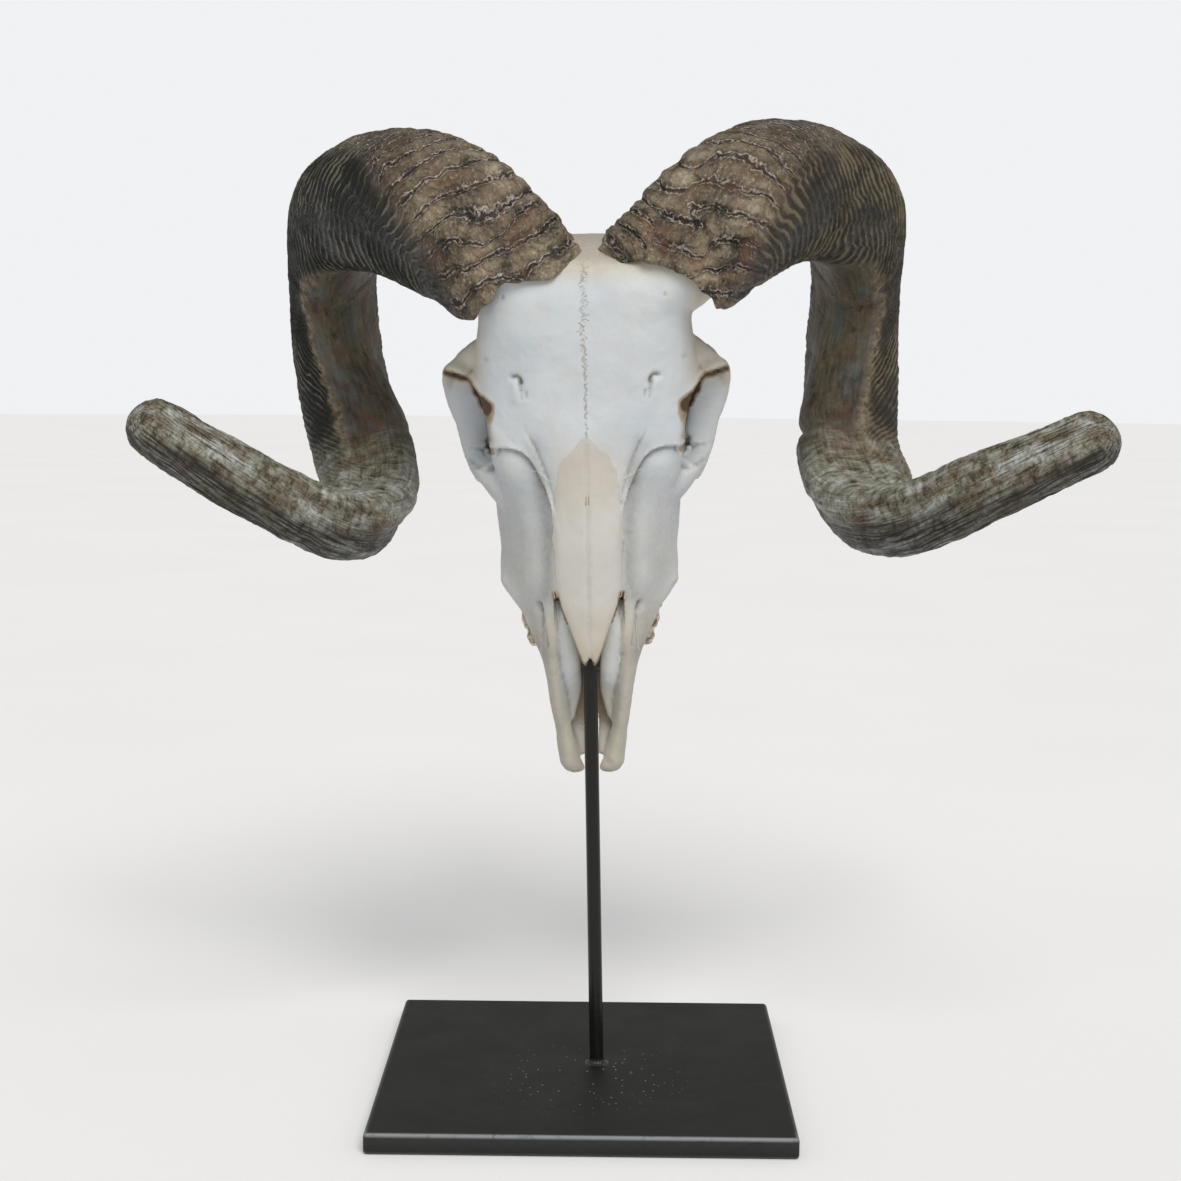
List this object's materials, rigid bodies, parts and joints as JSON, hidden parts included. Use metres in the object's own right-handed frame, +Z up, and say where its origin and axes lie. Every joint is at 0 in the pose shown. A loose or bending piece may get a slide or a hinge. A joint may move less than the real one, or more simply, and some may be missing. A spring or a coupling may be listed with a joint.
{
  "type": "mounted ram skull with horns",
  "caption": "Life-size ram skull with curled, ridged horns, held nose down on a slim rod above a square base plate.",
  "frame": {"origin": "middle of the base plate's underside", "axes": "+Z up, -Y the way the forehead faces, +X to the right seen from the front"},
  "size_m": [0.4746, 0.2652, 0.4845],
  "materials": {
    "bone": "dry bleached bone, bluish white with cream and brown edges",
    "nasal_bone": "dry cream bone",
    "horn": "ringed horn, olive tan on the front and dark brown on the sides",
    "stand_steel": "blackened satin steel with worn edges"
  },
  "bodies": {
    "root": {"cranium": "bone", "nasal_left": "nasal_bone", "nasal_right": "nasal_bone", "maxilla_left": "bone", "maxilla_right": "bone", "premaxilla_left": "bone", "premaxilla_right": "bone", "zygoma_left": "bone", "zygoma_right": "bone", "horn_left": "horn", "horn_right": "horn", "stand_rod": "stand_steel", "stand_base": "stand_steel"}
  },
  "joints": []
}
